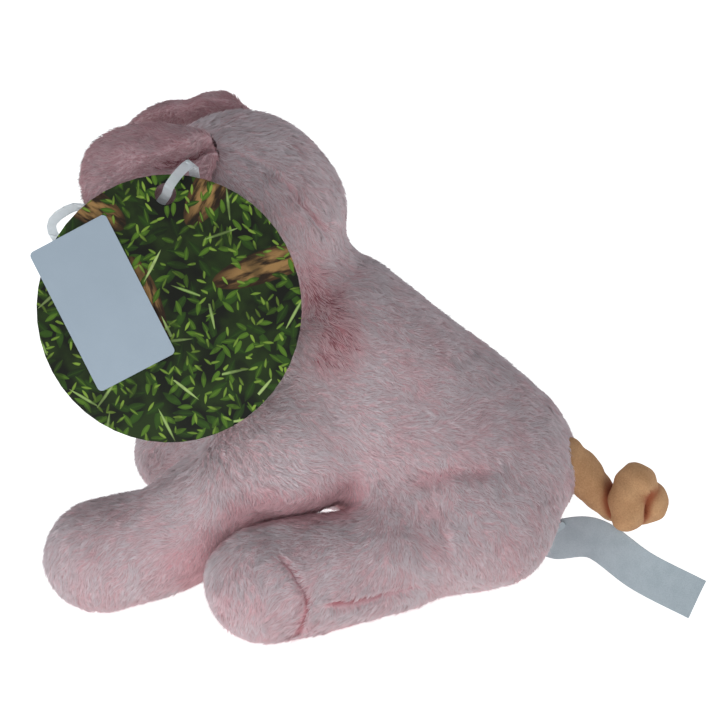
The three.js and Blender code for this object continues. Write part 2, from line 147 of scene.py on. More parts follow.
def ripple(p, size, seed, waves=9):
    """Smooth noise of about -1 to 1: sine waves of about one size, in drawn directions."""
    draw = np.random.default_rng(seed)
    ways = unit(draw.normal(size=(waves, 3)))
    ways = ways * (2 * np.pi / (size * draw.uniform(0.7, 1.4, (waves, 1))))
    return np.sin(p @ ways.T + draw.uniform(0, 2 * np.pi, waves)).sum(-1) / math.sqrt(waves)


def skin_rings(depth, axis, across, rows, caps, sides):
    """Rings of places on a closed skin. Rays leave each row of an axis square to it, and at
    the axis' ends they lean over to straight out. Each ray steps on by the depth that is
    left until it meets the skin, and the first and last rings shrink to a pole."""
    middle = spline([s[:3] for s in axis], rows)
    along = unit(np.gradient(middle, axis=0))
    lean = np.concatenate([
        np.linspace(-np.pi / 2, 0, caps, endpoint=False),
        np.zeros(rows + 1),
        np.linspace(np.pi / 2, 0, caps, endpoint=False)[::-1],
    ])
    row = np.clip(np.arange(len(lean)) - caps, 0, rows)
    side = unit(across - along * (along @ across)[:, None])
    up = np.cross(along, side)
    turn = np.linspace(0, 2 * np.pi, sides, endpoint=False)[None, :, None]
    square = side[row][:, None] * np.cos(turn) + up[row][:, None] * np.sin(turn)
    lean = lean[:, None, None]
    way = square * np.cos(lean) + along[row][:, None] * np.sin(lean)
    start = middle[row][:, None] + 0 * way
    far = np.zeros(way.shape[:-1])
    for _ in range(ray_steps):
        far -= ray_stride * depth(start + far[..., None] * way)
    return start + far[..., None] * way


def slope(depth, p):
    """The outward direction at points near a skin, from small steps in depth."""
    steps = 0.05 * np.eye(3)
    return unit(np.stack([depth(p + step) - depth(p - step) for step in steps], -1))


def mesh_piece(name, points, quads, triangles, uv=None, shading=None):
    """An object whose mesh has these points, in millimetres, and these faces, shaded
    smooth. It may have a map of one place for each face corner, and a direction for each
    point that it is shaded by."""
    mesh = bpy.data.meshes.new(name)
    corners = np.concatenate([np.ravel(quads), np.ravel(triangles)]).astype(np.int32)
    starts = np.concatenate([
        4 * np.arange(len(quads)),
        4 * len(quads) + 3 * np.arange(len(triangles)),
    ]).astype(np.int32)
    mesh.vertices.add(len(points))
    mesh.vertices.foreach_set("co", (np.asarray(points) * mm).astype(np.float32).ravel())
    mesh.loops.add(len(corners))
    mesh.loops.foreach_set("vertex_index", corners)
    mesh.polygons.add(len(starts))
    mesh.polygons.foreach_set("loop_start", starts)
    mesh.polygons.foreach_set("use_smooth", np.ones(len(starts), bool))
    mesh.update(calc_edges=True)
    if uv is not None:
        layer = mesh.uv_layers.new(name="OFBake")
        layer.data.foreach_set("uv", np.asarray(uv, np.float32).ravel())
    mesh.validate()
    if shading is not None:
        mesh.normals_split_custom_set_from_vertices(np.asarray(shading, np.float32))
    piece = bpy.data.objects.new(name, mesh)
    bpy.context.scene.collection.objects.link(piece)
    return piece


def closed_piece(name, rings, finish):
    """A closed mesh over rings of points whose first and last ring are one pole each."""
    count, around = len(rings) - 2, rings.shape[1]
    points = np.vstack([rings[0].mean(0), rings[1:-1].reshape(-1, 3), rings[-1].mean(0)])
    here = np.arange(around)
    beside = np.roll(here, -1)
    first = 1 + around * np.arange(count)[:, None]
    low, high = first[:-1], first[1:]
    quads = np.stack([low + here, low + beside, high + beside, high + here], -1).reshape(-1, 4)
    last = first[-1]
    triangles = np.concatenate([
        np.stack([0 * here, 1 + beside, 1 + here], -1),
        np.stack([last + here, last + beside, 0 * here + last + around], -1),
    ])
    piece = mesh_piece(name, points, quads, triangles)
    piece.data.materials.append(finish.material)
    return piece


class Value:
    """A number that varies over a surface. Arithmetic on it adds Math nodes."""

    def __init__(self, graph, socket):
        self.graph, self.socket = graph, socket

    def math(self, operation, *others):
        return self.graph.add("ShaderNodeMath", {"operation": operation}, [self, *others]).value(0)

    def __add__(self, other):
        return self.math("ADD", other)

    def __sub__(self, other):
        return self.math("SUBTRACT", other)

    def __rsub__(self, other):
        return (self * -1) + other

    def __mul__(self, other):
        return self.math("MULTIPLY", other)

    def __truediv__(self, other):
        return self.math("DIVIDE", other)

    def __pow__(self, other):
        return self.math("POWER", other)

    __radd__, __rmul__ = __add__, __mul__

    def between(self, low, high):
        """0 below low, 1 above high and smooth between them."""
        settings = {"interpolation_type": "SMOOTHSTEP"}
        return self.graph.add("ShaderNodeMapRange", settings, [self, low, high, 0.0, 1.0]).value(0)


class Added:
    """A node that was added to a graph."""

    def __init__(self, graph, node):
        self.graph, self.node = graph, node

    def value(self, output):
        return Value(self.graph, self.node.outputs[output])


class Graph:
    """The nodes of a material or of the world, emptied first."""

    def __init__(self, owner):
        owner.use_nodes = True
        self.nodes, self.links = owner.node_tree.nodes, owner.node_tree.links
        self.nodes.clear()

    def add(self, kind, settings, inputs):
        """Adds a node: its settings first, then values or links by socket name or number."""
        node = self.nodes.new(kind)
        for key, value in settings.items():
            setattr(node, key, value)
        pairs = inputs.items() if isinstance(inputs, dict) else enumerate(inputs)
        for key, value in pairs:
            if isinstance(value, Value):
                self.links.new(value.socket, node.inputs[key])
            else:
                node.inputs[key].default_value = value
        return Added(self, node)

    def place(self):
        """Object coordinates, in metres."""
        return self.add("ShaderNodeTexCoord", {}, {}).value("Object")

    def parts(self, vector):
        added = self.add("ShaderNodeSeparateXYZ", {}, {0: vector})
        return [added.value(i) for i in range(3)]

    def mapped(self, name):
        """The two numbers of a UV map."""
        return self.parts(self.add("ShaderNodeUVMap", {"uv_map": name}, {}).value(0))[:2]

    def noise(self, place, size, detail=2.0):
        """Noise of 0 to 1, whose patches are about size millimetres across."""
        inputs = {"Vector": place, "Scale": 1 / (size * mm), "Detail": detail}
        return self.add("ShaderNodeTexNoise", {}, inputs).value(0)

    def mix(self, share, a, b):
        """Colour a where share is 0 and b where it is 1."""
        return self.add("ShaderNodeMix", {"data_type": "RGBA"}, {0: share, 6: a, 7: b}).value(2)

    def painted_shade(self):
        """How much painted shade a place has, as store_painted_shade stored it on the mesh."""
        return self.add("ShaderNodeAttribute", {"attribute_name": "fold"}, {}).value("Fac")


class Finish(Graph):
    """A material: one Principled shader, its uniform values, and the nodes that feed it."""

    def __init__(self, name, **uniform):
        self.material = bpy.data.materials.new(name)
        super().__init__(self.material)
        settings = {key.replace("_", " "): value for key, value in uniform.items()}
        self.shader = self.add("ShaderNodeBsdfPrincipled", {}, settings)
        self.add("ShaderNodeOutputMaterial", {}, {"Surface": self.shader.value(0)})

    def set(self, socket, value):
        self.links.new(value.socket, self.shader.node.inputs[socket])

    def bump(self, height, distance):
        """Raises the surface, in looks only, by up to a distance in millimetres."""
        inputs = {"Height": height, "Distance": distance * mm}
        self.set("Normal", self.add("ShaderNodeBump", {}, inputs).value(0))


def colour(red, green, blue):
    """A colour as it is seen on a screen, from 0 to 255, turned into light."""
    seen = np.array([red, green, blue]) / 255
    light = np.where(seen <= 0.04045, seen / 12.92, ((seen + 0.055) / 1.055) ** 2.4)
    return (*light.tolist(), 1.0)


pear = spline([chest, waist, rump], pear_steps)

# The legs' stations go from the shoulder or hip to the paw. Each leg's root flares softly
# onto the torso, and a span for its bend is set that starts near the torso's skin.
leg_stations = {
    "front_leg_left": [(14, -43, 46.5, 15.5), (20.6, -73.9, 21.8, 14.6), (25.3, -95.2, 15.1, 14.8)],
    "front_leg_right": [(-14, -43, 46.5, 15.5), (-27.8, -67, 27.5, 13.6), (-37, -83, 19.8, 14.4)],
    "hind_leg_left": [(18, 6, 27, 16.2), (30.7, -24.1, 18.4, 14.0), (41, -49.3, 16.5, 14.8)],
    "hind_leg_right": [(-18, 6, 27, 16.2), (-33.4, -20, 18.4, 14.0), (-46, -42, 16.5, 14.8)],
}
leg_softness = {"front": 13, "hind": 9}
leg_bend_depth, leg_bend_lead, leg_bend_length = 1, 2, 15
leg_steps, leg_stride, bend_span, outer_start = 60, 5, 4, 6


def pear_depth(p):
    """Depth of the pear with a rounded swelling for each shoulder and hip. The ground and
    the slant of the lower back flatten it."""
    depth = depth_round(pear, p * torso_slimness)
    for centre, radius in ((shoulder, shoulder_radius), (hip, hip_radius)):
        for side in sides.values():
            depth = merged(depth, np.linalg.norm(p - centre * side, axis=-1) - radius, socket_blend)
    slant = (p - rump[:3]) @ seat_slant - seat_slant_reach
    return cut(cut(depth, slant, seat_slant_blend), -p[..., 2], seat_blend)


class Leg:
    """A leg's middle line with its radii, its softness at the root, and where it bends."""

    def __init__(self, name):
        self.line = spline(leg_stations[name], leg_steps)
        self.soft = leg_softness[name.split("_")[0]]
        middle = self.line[:, :3]
        bend = int(np.argmax(pear_depth(middle) > leg_bend_depth))
        self.start = middle[bend]
        self.along = unit(middle[bend + bend_span] - middle[bend - bend_span])
        self.outer = middle[bend + outer_start:]
        self.joint = [(self.start + reach * self.along) * mm for reach in (-leg_bend_lead, leg_bend_length)]
        self.tube, self.stump = self.line[::leg_stride], self.line[:bend + 1:leg_stride]

    def depth_alone(self, p):
        return depth_round(self.tube, p)

    def beyond(self, p):
        """How far places are from the leg's own part: beyond its bend and near its tube."""
        return np.maximum((self.start - p) @ self.along, self.depth_alone(p) - self.soft)


legs = {name: Leg(name) for name in leg_stations}


def torso_depth(p):
    """Depth of the pear with the root of each leg growing out of it."""
    depth = pear_depth(p)
    for leg in legs.values():
        depth = merged(depth, depth_round(leg.stump, p), leg.soft)
    return cut(depth, -p[..., 2], seat_blend)


hem, hem_width, hem_rise, rim_blend, cup_depth = 0.35, 1.5, 0.5, 0.6, 2.5


def head_sewn(depth, soft):
    """A form's depth that flares over a soft width onto the torso, ends a hem below the
    torso's skin and is hollow within it."""
    def joined(p):
        torso = torso_depth(p)
        whole = cut(merged(depth(p), torso + hem, soft), -p[..., 2], seat_blend)
        return cut(whole, -torso - cup_depth, rim_blend)

    return joined


def leg_sewn(leg):
    """A leg's depth: beyond its bend it is one form with the torso, and there it ends in a
    hem that goes a little below the torso's skin."""
    def joined(p):
        beyond = leg.beyond(p)
        whole = merged(leg.depth_alone(p), pear_depth(p), leg.soft) + hem * eased(beyond, 0, hem_rise)
        return cut(cut(whole, -p[..., 2], seat_blend), beyond - hem_width, rim_blend)

    return joined


# Creases of the skin, each with its line of places, its width, how far it is pulled in, how
# dark it is painted, and how far its mirrored twin is shifted, or None where it has none.
# Those of the gusset, soles and undersides are sewn. The cloth creases over a thigh, dents
# behind it, folds at the neck and is sewn under the belly. The darkness is painted shade: in
# a crease, dent or fold it stands for the shade there, at the neck for the shadow of the
# head and tag, and along a sewn seam for its dark line and the shade in it.
unshifted = (0, 0, 0)
gusset_line = [
    (15.3, -64.8, 124.9), (16.8, -55.6, 124.2), (18.3, -47.9, 119.6),
    (18, -41.5, 112.5), (13.8, -36.6, 105.5), (8, -34.5, 101.5),
]
sole_line = [
    (46.9, -48.9, 29.8), (49.3, -42.2, 26.8), (51, -38.8, 22.4),
    (51.2, -36.7, 18.1), (48.6, -39.2, 7.5), (43, -46, 0),
]
underside_line = [(51, -36.3, 16.1), (46, -25.3, 15.4), (41.4, -12.8, 16.8), (37.1, 1.2, 17.8)]
dent_lines = [
    [(31.4, -7.1, 39), (36.7, -9.3, 31.4), (38.8, -4, 25.6)],
    [(31, -7.7, 39.3), (36.6, -4.2, 32.1), (38.8, -2.2, 23.6)],
]
thigh_line = [(28.4, -16.4, 39.8), (29, -7.3, 43.5), (28.5, 1.7, 45), (27.2, 10.7, 44.8)]
neck_fold_and_shadow_line = [
    (17.9, -40.4, 90.6), (18.3, -37.2, 87.3), (20.4, -34.5, 83.5),
    (22.4, -32, 78.8), (24.3, -33.6, 73.2),
]
belly_line = [(0, -58, 50), (0, -50, 33), (0, -32, 13), (0, -12, 2)]
crease_lines = [
    (gusset_line, 0.75, 1.3, 0.55, unshifted),
    (sole_line, 0.65, 1.1, 0.9, (-5, 7.3, 0)),
    (underside_line, 0.65, 1.2, 0.9, (-4, 4, 0)),
    (dent_lines[0], 2.4, 0.8, 0.3, unshifted),
    (dent_lines[1], 1.8, 0.9, 0.4, unshifted),
    (thigh_line, 1.7, 1.5, 0.6, unshifted),
    (neck_fold_and_shadow_line, 7, 0.8, 0.74, None),
    (belly_line, 1.6, 0.7, 0.6, None),
]
seam_fade, seam_drop = 0.16, 4


def seam_line(places):
    """A smooth line through places. Its ends fade, by a thickness less than nothing."""
    line = spline(places, 4 * len(places))
    share = np.linspace(0, 1, len(line))
    faint = 1 - eased(np.minimum(share, 1 - share), 0, seam_fade)
    return np.hstack([line, -seam_drop * faint[:, None]])


creases = []
for places, width, pull, dark, shift in crease_lines:
    creases.append((seam_line(places), width, pull, dark))
    if shift is not None:
        creases.append((seam_line(np.array(places) * mirror + shift), width, pull, dark))


def relief(p):
    """How far the filling's lumps push the skin out at places, and the creases pull it in."""
    height = lump_height * ripple(p, lump_size, lump_seed)
    for line, width, pull, _ in creases:
        height -= pull * np.exp(-((depth_round(line, p) / width) ** 2))
    return height


def crease_shade(p):
    """How dark the creases paint the skin at places, as painted shade: no crease is narrower than its mesh.
    """
    shade = np.zeros(p.shape[:-1])
    for line, width, _, dark in creases:
        share = depth_round(line, p) / max(width, skin_cell)
        shade = np.maximum(shade, dark * np.exp(-(share**2)))
    return shade


def store_painted_shade(piece, share):
    """Stores how much painted shade each of a closed piece's points has, from its rings."""
    values = np.concatenate([[share[0].mean()], share[1:-1].ravel(), [share[-1].mean()]])
    stored = piece.data.attributes.new("fold", "FLOAT", "POINT")
    stored.data.foreach_set("value", values.astype(np.float32))


def plush_piece(name, depth, alone, axis, grid):
    """A stuffed form's skin with its relief. Its depth alone leaves out what it is sewn to."""
    rings = skin_rings(depth, axis, np.array([1.0, 0, 0]), **grid)
    rings = rings + slope(depth, rings) * relief(rings)[..., None]
    rings[..., 2] = np.maximum(rings[..., 2], ground_gap)
    piece = closed_piece(name + "_skin", rings, backing)
    store_painted_shade(piece, crease_shade(rings))
    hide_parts(name)
    plush[name] = {"piece": piece, "depth": depth, "alone": alone}
    return piece


# The backing of the pile: a knitted ground that shows, darker and pinker, between locks.
# Along seams and creases it is painted deep pink, as painted shade and a seam's dark line.
backing_dark, backing_pale, backing_crease_shade = colour(186, 148, 155), colour(205, 176, 182), colour(164, 98, 106)
backing = Finish("pile_backing", Roughness=0.95)
backing_place = backing.place()
backing_shade = backing.noise(backing_place, 9, 3.0) * 0.6 + backing.noise(backing_place, 0.6) * 0.4
backing_plain = backing.mix(backing_shade, backing_dark, backing_pale)
# Painted shade: deep pink where the stored painted shade of seams and creases is high.
backing.set("Base Color", backing.mix(backing.painted_shade().between(0.1, 1), backing_plain, backing_crease_shade))
backing.bump(backing.noise(backing_place, 0.5), 0.3)

plush = {}
torso = plush_piece("torso", torso_depth, pear_depth, [chest, waist, rump], torso_grid)
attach(torso, "torso")

# Head: a round stuffed ball with a short muzzle, of the same pile. A gusset runs over the
# crown from ear to ear and narrows towards the nape. It is sewn on at the neck.
skull = np.array([0, -59.3, 103.8])
skull_radius, skull_slimness = 26.5, np.array([0.98, 1, 1])
muzzle_end = np.array([0, -78, 97.5])
muzzle_root_radius, muzzle_radius, muzzle_blend = 20.8, 17.5, 6
snout_tilt = math.radians(14)
snout_axis = direction(0, -snout_tilt)
muzzle_face, muzzle_face_blend = 12, 2
snout_seat = muzzle_end + muzzle_face * snout_axis
neck_line = unit(skull - np.array(chest[:3]))
neck_from, neck_to, neck_soft = 12, 28, 11
head_grid = {"rows": 6, "caps": 56, "sides": 144}
muzzle_root = skull + 0.3 * (muzzle_end - skull)
muzzle_line = np.array([[*muzzle_root, muzzle_root_radius], [*muzzle_end, muzzle_radius]])
face_way = 2 * unit(muzzle_end - skull)


def whole_head_depth(p):
    """Depth of the skull and muzzle before the neck is cut, level at the snout's seat."""
    ball = np.linalg.norm((p - skull) * skull_slimness, axis=-1) - skull_radius
    depth = merged(ball, depth_round(muzzle_line, p), muzzle_blend)
    return cut(depth, (p - snout_seat) @ snout_axis, muzzle_face_blend)


head_depth = head_sewn(whole_head_depth, neck_soft)
head = plush_piece("head", head_depth, whole_head_depth, [skull - face_way, skull + face_way], head_grid)
neck_joint = [(np.array(chest[:3]) + reach * neck_line) * mm for reach in (neck_from, neck_to)]
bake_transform(head)

# Legs: four stuffed tubes of the same pile with round paws, sewn to the shoulders and
# hips. A hind foot has a sole that is set in with a seam.
leg_grid, leg_axis_stride = {"rows": 56, "caps": 30, "sides": 112}, 4
for name, leg in legs.items():
    tube = plush_piece(name, leg_sewn(leg), leg.depth_alone, leg.outer[::leg_axis_stride], leg_grid)
    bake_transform(tube)

# Ears: padded leaves of the same pile, gathered at the root and sewn to the crown, so
# that they stand out a little and then flop forward. Each has a fold that runs from its
# root slantwise to its outer rim and fades on the way. Stations are shares of the length,
# width and thickness, and a rise and an outward shift in millimetres.
ear_root_outward, ear_root_forward = math.radians(42), math.radians(8)
ear_turn = math.radians(17)
ear_length, ear_width, ear_thickness = 27, 24, 8
ear_dips, ear_breadths = {"left": 16, "right": 21}, {"left": 1.0, "right": 0.86}
ear_seat, ear_gap, ear_fill, thinnest = np.array([28, 27, 27]), 0.2, 0.5, 0.02
ear_roots = {
    "left": [
        (-0.07, 0.1, 0.2, -1.4, -1.6),
        (-0.02, 0.27, 0.5, -0.8, -1.3),
        (0.06, 0.48, 0.75, 0, -0.6),
        (0.15, 0.7, 0.9, 0.6, 0.4),
    ],
    "right": [
        (-0.19, 0.2, 0.3, -2.6, -1.2),
        (-0.13, 0.48, 0.65, -1.6, -1.0),
        (0, 0.76, 0.95, 0.3, -0.6),
        (0.15, 0.9, 1.0, 1.2, 0),
    ],
}
ear_leaf = [
    (0.36, 0.94, 1.0, 1.5, 0.2),
    (0.62, 1.1, 1.0, 1.7, 0),
    (0.88, 1.13, 0.95, 0.6, -0.2),
    (1.1, 0.92, 0.8, -1.2, -0.3),
    (1.21, 0.5, 0.5, -2.3, 0),
    (1.245, 0.12, 0.15, -2.9, 0),
]
fold_depths = {"left": 4.4, "right": 1.5}
fold_slant, fold_width, fold_underside, fold_drop = 5.5, 1.5, 0.3, 0.5
rim_thinness, rim_cup = 0.25, 0.9
ear_lump_height, ear_lump_size, ear_lump_seed = 0.3, 11, 31
ear_rows, ear_sides = 100, 120
crease_rows, crease_width, ear_fold_shade = slice(14, 62, 6), 0.7, 0.45


def ear_frame(side_name):
    """The root's place and the directions outward along the rim, ahead and off the head."""
    side = sides[side_name]
    dip = math.radians(ear_dips[side_name])
    away = np.array([
        math.sin(ear_root_outward) * math.cos(ear_root_forward),
        -math.sin(ear_root_forward),
        math.cos(ear_root_outward) * math.cos(ear_root_forward),
    ])
    ahead = direction(ear_turn, -dip)
    skin = 1 / np.linalg.norm(away / ear_seat)
    root = skull + (skin + ear_thickness / 2 + ear_gap) * away
    out = np.array([math.cos(ear_root_outward), 0, -math.sin(ear_root_outward)])
    out = unit(out - ahead * (out @ ahead))
    above = np.cross(ahead, out)
    return [root * side, out * side, ahead * side, above * side]


def ear_rings(side_name):
    """Oval rings along the ear, and the line of its fold. The rim is thinner than the
    middle, by a power of the sine round the ring, and the leaf cups down towards it."""
    root, out, ahead, above = ear_frame(side_name)
    line = spline(ear_roots[side_name] + ear_leaf, ear_rows)
    turn = np.linspace(0, 2 * np.pi, ear_sides, endpoint=False)
    turn = turn if side_name == "left" else turn[::-1]
    length, width, thick, rise, shift = (line[:, i, None] for i in range(5))
    wide = ear_breadths[side_name] * ear_width / 2 * np.maximum(width, thinnest) * np.cos(turn)
    tall = ear_thickness / 2 * np.maximum(thick, thinnest) * np.sin(turn)
    tall = tall * np.abs(np.sin(turn)) ** rim_thinness
    fold = fold_depths[side_name] * (1 - eased(length, 0.35, 0.85))
    beside = wide - fold_slant * length
    groove = np.exp(-((beside / fold_width) ** 2)) * np.where(np.sin(turn) > 0, 1, fold_underside)
    drop = fold * (groove + fold_drop * eased(beside, -1, 2))
    tall = tall + rise - rim_cup * width * np.cos(turn) ** 2 - drop
    offsets = (wide + shift)[..., None] * out + tall[..., None] * above
    rings = root + offsets + (ear_length * length)[..., None] * ahead
    lumps = ear_lump_height * ripple(rings, ear_lump_size, ear_lump_seed)
    rings = rings + lumps[..., None] * above
    return rings, rings[np.arange(len(rings)), np.argmax(groove, axis=1)]


for side_name in sides:
    name = f"ear_{side_name}"
    rings, fold_line = ear_rings(side_name)
    # Painted shade: the ear's fold is painted darker along its groove.
    creases.append((seam_line(fold_line[crease_rows]), crease_width, 0, ear_fold_shade))
    ear = closed_piece(name + "_skin", rings, backing)
    store_painted_shade(ear, crease_shade(rings))
    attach(ear, name)
    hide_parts(name)
    plush[name] = {"piece": ear, "depth": None, "alone": None}

# Pile: the short silky fur of every plush piece. It lies along the nap in fine locks that
# swirl a little and draw together at their tips, which are paler than their roots.
pile_per_square = 5
pile_piece_strands = 48000
lock_cell, lock_pull, lock_swirl = 1.45, 0.5, 0.7
strand_length, strand_rise, strand_rise_range, strand_half = 2.5, 0.42, 0.34, 0.15
strand_buried, strand_tilt, stray_share, stray_rise = 0.25, 0.42, 0.03, 0.8
nap_back, nap_down, nap_end = np.array([[0, 0.95, -0.3], [0, 0.45, -0.9], [0, 0.1, -1.0]])
nap_crown, nap_cheek = np.array([[0, 0.9, -0.45], [0, 0.25, -1.0]])
nap_low, nap_high, nap_leg_lead, nap_leg_full, nap_end_full = 22, 62, -8, 20, 10
nap_leg_near, nap_leg_far, crown_half, cheek_from = 3, 12, 13, 18
ear_strand_size, ear_nap_start, ear_nap_swirl = 0.78, 9, 1.2
# Tone shares: the sky light share is painted light that turns up-facing pile greyer; the hollow and crease
# shade shares are painted shade that turns pile pinker and darker.
tone_plain, tone_ripple, tone_sky_light, tone_hollow_shade, tone_lock, tone_spread = 0.78, 0.1, 0.12, 0.9, 0.3, 0.14
tone_crease_shade, tone_least, ear_tone_least, head_hollow_shade = 0.7, 0.2, 0.16, 0.6
ear_pinkening, ear_root_shade, ear_root_reach, thin_from, thin_share = 0.7, 0.9, 3.5, 0.7, 0.5
parting_share, parting_reach, hollow_reach, skin_margin, snout_margin = 0.7, 2.0, 13, 0.05, 0.4
lowest_tip = 0.1


def body_nap(p):
    """Back and down over the torso, down at the hips and shoulders, along each leg, and
    down again over the end of its paw."""
    high = eased(p[:, 2], nap_low, nap_high)[:, None]
    nap = nap_back * high + nap_down * (1 - high)
    for leg in legs.values():
        reach = (p - leg.start) @ leg.along
        near = 1 - eased(leg.depth_alone(p), nap_leg_near, nap_leg_far)
        share = (eased(reach, nap_leg_lead, nap_leg_full) * near)[:, None]
        past = (p - leg.line[-1, :3]) @ leg.along
        end = (eased(past, nap_leg_lead, nap_end_full) * near)[:, None]
        nap = nap * (1 - share) + leg.along * share
        nap = nap * (1 - end) + nap_end * end
    return nap


def head_nap(p):
    """Back over the crown, within the gusset, and down over the sides."""
    side = eased(np.abs(p[:, 0]), crown_half, cheek_from)[:, None]
    return nap_crown * (1 - side) + nap_cheek * side


def ear_nap(side_name):
    """From a place behind the root towards the rim, with a swirl."""
    root, _, ahead, _ = ear_frame(side_name)

    def nap(p):
        swirl = np.stack([ripple(p, 9, seed) for seed in (51, 52, 53)], 1)
        return p - (root - ear_nap_start * ahead) + ear_nap_swirl * swirl

    return nap


naps = {
    "torso": body_nap,
    "head": head_nap,
    "ear_left": ear_nap("left"),
    "ear_right": ear_nap("right"),
    **{name: body_nap for name in legs},
}


def drawn_fraction(cells, salt):
    """A fraction of 0 to 1 that looks drawn but always belongs to the same cell."""
    return np.mod(np.sin(cells @ np.array([12.9898, 78.233, 37.719]) + salt) * 43758.5453, 1)


def drawn_places(cells, salts):
    """Three such fractions for each cell."""
    return np.stack([drawn_fraction(cells, salt) for salt in salts], 1)


def scattered(piece, per_square, draw):
    """Even draws of places on a mesh, by area, with the smooth outward direction there."""
    mesh = piece.data
    mesh.calc_loop_triangles()
    corners = np.empty(3 * len(mesh.loop_triangles), np.int32)
    mesh.loop_triangles.foreach_get("vertices", corners)
    points, normals = (np.empty(3 * len(mesh.vertices), np.float32) for _ in range(2))
    mesh.vertices.foreach_get("co", points)
    mesh.vertex_normals.foreach_get("vector", normals)
    corners = corners.reshape(-1, 3)
    points = points.reshape(-1, 3)[corners].astype(float) / mm
    normals = normals.reshape(-1, 3)[corners].astype(float)
    edges = points[:, 1] - points[:, 0], points[:, 2] - points[:, 0]
    areas = np.linalg.norm(np.cross(*edges), axis=1) / 2
    count = int(areas.sum() * per_square)
    face = np.searchsorted(np.cumsum(areas), (np.arange(count) + draw.random(count)) / count * areas.sum())
    face = np.minimum(face, len(areas) - 1)
    u, v = np.sqrt(draw.random(count)), draw.random(count)
    weights = np.stack([1 - u, u * (1 - v), u * v], 1)[..., None]
    return (points[face] * weights).sum(1), unit((normals[face] * weights).sum(1))


def strands(place, out, nap, draw, size=1.0):
    """Spikes of three corners at the root and one at the tip. Each leaves the skin at a low
    slant along the nap and leans to the middle of its lock. Returns their points and the
    directions they are shaded by, which follow the skin more than the spike."""
    count = len(place)
    cell_size = lock_cell * size
    cell = np.floor(place / cell_size)
    swirl = 0.3 * ripple(place, 30, 5) + 0.34 * ripple(place, 7, 6) + draw.normal(0, 0.16, count)
    swirl += lock_swirl * (drawn_fraction(cell, 21) - 0.5)
    nap = unit(nap - out * (nap * out).sum(1, keepdims=True))
    sideways = np.cross(out, nap)
    way = nap * np.cos(swirl)[:, None] + sideways * np.sin(swirl)[:, None]
    across = np.cross(out, way)
    centre = (cell + 0.2 + 0.6 * drawn_places(cell, (1, 2, 3))) * cell_size
    pull = (centre - place) * lock_pull
    pull = pull - out * (pull * out).sum(1, keepdims=True)
    length = strand_length * draw.uniform(0.7, 1.3, count) * (1 + 0.15 * ripple(place, 14, 7))
    rise = strand_rise + strand_rise_range * drawn_fraction(cell, 9) + draw.normal(0, 0.09, count)
    stray = (draw.random(count) < stray_share) * draw.random(count)
    height = rise + stray_rise * stray
    tip = place + size * (way * length[:, None] + out * height[:, None]) + pull
    tip[:, 2] = np.maximum(tip[:, 2], lowest_tip)
    root = place - strand_buried * size * out
    half = strand_half * math.sqrt(size) * draw.uniform(0.75, 1.3, (count, 1))
    points = np.stack([root + half * across, root + 1.5 * half * out, root - half * across, tip], 1)
    tilt = drawn_places(cell, (11, 12, 13)) - 0.5 + draw.normal(0, 0.12, (count, 3))
    shading = unit(out + strand_tilt * tilt)
    return points, np.repeat(shading[:, None], 4, 1)


def pile_piece(name, points, shading, tone, finish):
    """One mesh of many strands. Its map holds tone across and root to tip upward."""
    count = len(points)
    first = 4 * np.arange(count)[:, None, None]
    triangles = (first + np.array([[0, 1, 3], [1, 2, 3], [2, 0, 3], [0, 2, 1]])).reshape(-1, 3)
    spread = np.array([0.012, 0, -0.012, 0])
    height = np.array([0.02, 0.05, 0.02, 0.98])
    uv = np.stack([tone[:, None] + spread, np.broadcast_to(height, (count, 4))], -1).reshape(-1, 2)
    points, shading = points.reshape(-1, 3), shading.reshape(-1, 3)
    piece = mesh_piece(name, points, np.zeros((0, 4)), triangles, uv[triangles.ravel()], shading)
    piece.data.materials.append(finish.material)
    return piece


def pile_finish(name, gain):
    """Pile whose map's first number turns it from pink to greyish, and below a fifth to the deep
    pink of painted shade in folds, creases and seams. Its second number goes from root to tip.
    Gain is its brightness."""
    def with_gain(*tones):
        return colour(*(gain * tone for tone in tones))

    pile = Finish(name, Roughness=0.8)
    tone, height = pile.mapped("OFBake")
    up = height.between(0, 0.8)
    pink = pile.mix(up, with_gain(198, 124, 134), with_gain(225, 170, 178))
    grey = pile.mix(up, with_gain(200, 185, 190), with_gain(220, 212, 218))
    mixed = pile.mix(tone.between(-0.3, 1.3), pink, grey)
    # Painted shade: deep pink below a fifth, for creases, folds and seams.
    pile.set("Base Color", pile.mix(tone.between(0.02, 0.2), with_gain(146, 80, 90), mixed))
    return pile


body_pile, ear_pile = pile_finish("pile", 1), pile_finish("ear_pile", 0.9)


def hollow(p, out):
    """How much the forms close in on places: 0 where a ball of some reach fits outside. It sets painted
    shade, which makes the pile pinker and darker.
    """
    far = p + hollow_reach * out
    space = [form["alone"](far) for form in plush.values() if form["alone"] is not None]
    return 1 - np.clip(np.min(space, axis=0) / hollow_reach, 0, 1)


def parted(p, nap):
    """The nap, turned away from creases near them, and how near the creases are and how much painted shade
    they give.
    """
    dark = np.zeros(len(p))
    for line, width, _, strength in creases:
        close = depth_round(line, p) < 2.5 * max(parting_reach, width)
        apart = depth_round(line, p[close])
        dark[close] = np.maximum(dark[close], strength * np.exp(-((apart / width) ** 2)))
        if width < parting_reach:
            away = slope(lambda q: depth_round(line, q), p[close])
            share = parting_share * strength * np.exp(-((apart[:, None] / parting_reach) ** 2))
            nap[close] = unit(nap[close]) * (1 - share) + away * share
    return nap, dark


